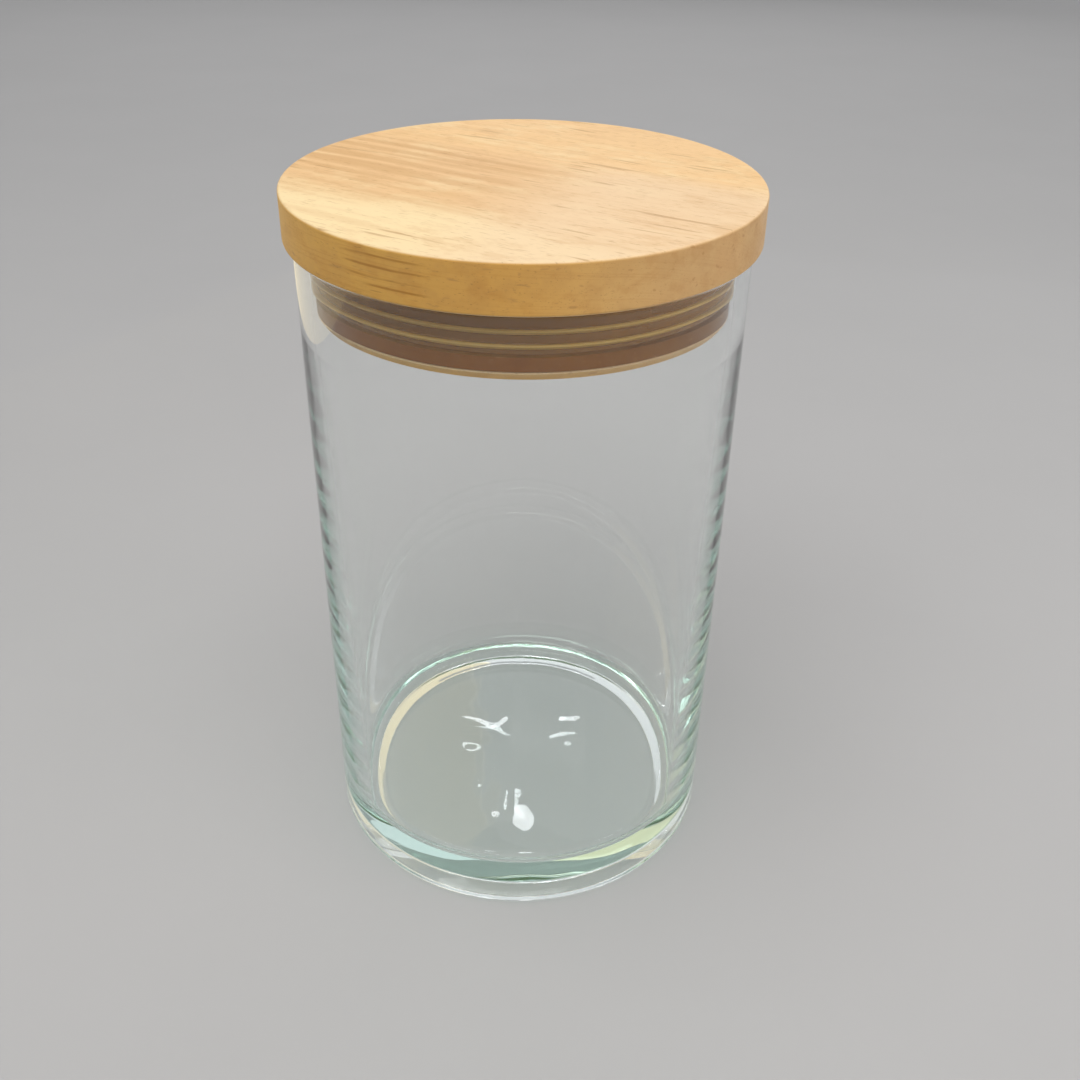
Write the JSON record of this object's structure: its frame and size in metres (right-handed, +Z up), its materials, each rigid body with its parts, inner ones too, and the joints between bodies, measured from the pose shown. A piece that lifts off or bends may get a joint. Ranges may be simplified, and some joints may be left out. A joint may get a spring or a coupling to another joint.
{
  "type": "glass storage canister",
  "caption": "Straight clear glass storage jar with a thick base, closed by a turned wooden plug lid with a finned silicone sealing ring.",
  "frame": {"origin": "middle of the jar's foot, on the surface it stands on", "axes": "+Z up along the axis that every piece is turned about, +X to the right of the picture"},
  "size_m": [0.104, 0.104, 0.1713],
  "materials": {
    "clear_glass": "clear, polished, faintly green where it is thick",
    "clear_silicone": "translucent, satin",
    "pale_wood": "fine sanded and lightly oiled, with short dark pores"
  },
  "bodies": {
    "jar": {"glass_jar": "clear_glass"},
    "seal": {"sealing_ring": "clear_silicone"},
    "lid": {"wooden_lid": "pale_wood"}
  },
  "joints": [
    {"name": "lid_lift", "type": "slide", "parent": "jar", "child": "seal", "axis": [0, 0, 1], "range_m": [0, 0.12]},
    {"name": "lid_turn", "type": "hinge", "parent": "seal", "child": "lid", "pos_m": [0, 0, 0.1608], "axis": [0, 0, 1], "continuous": true}
  ]
}
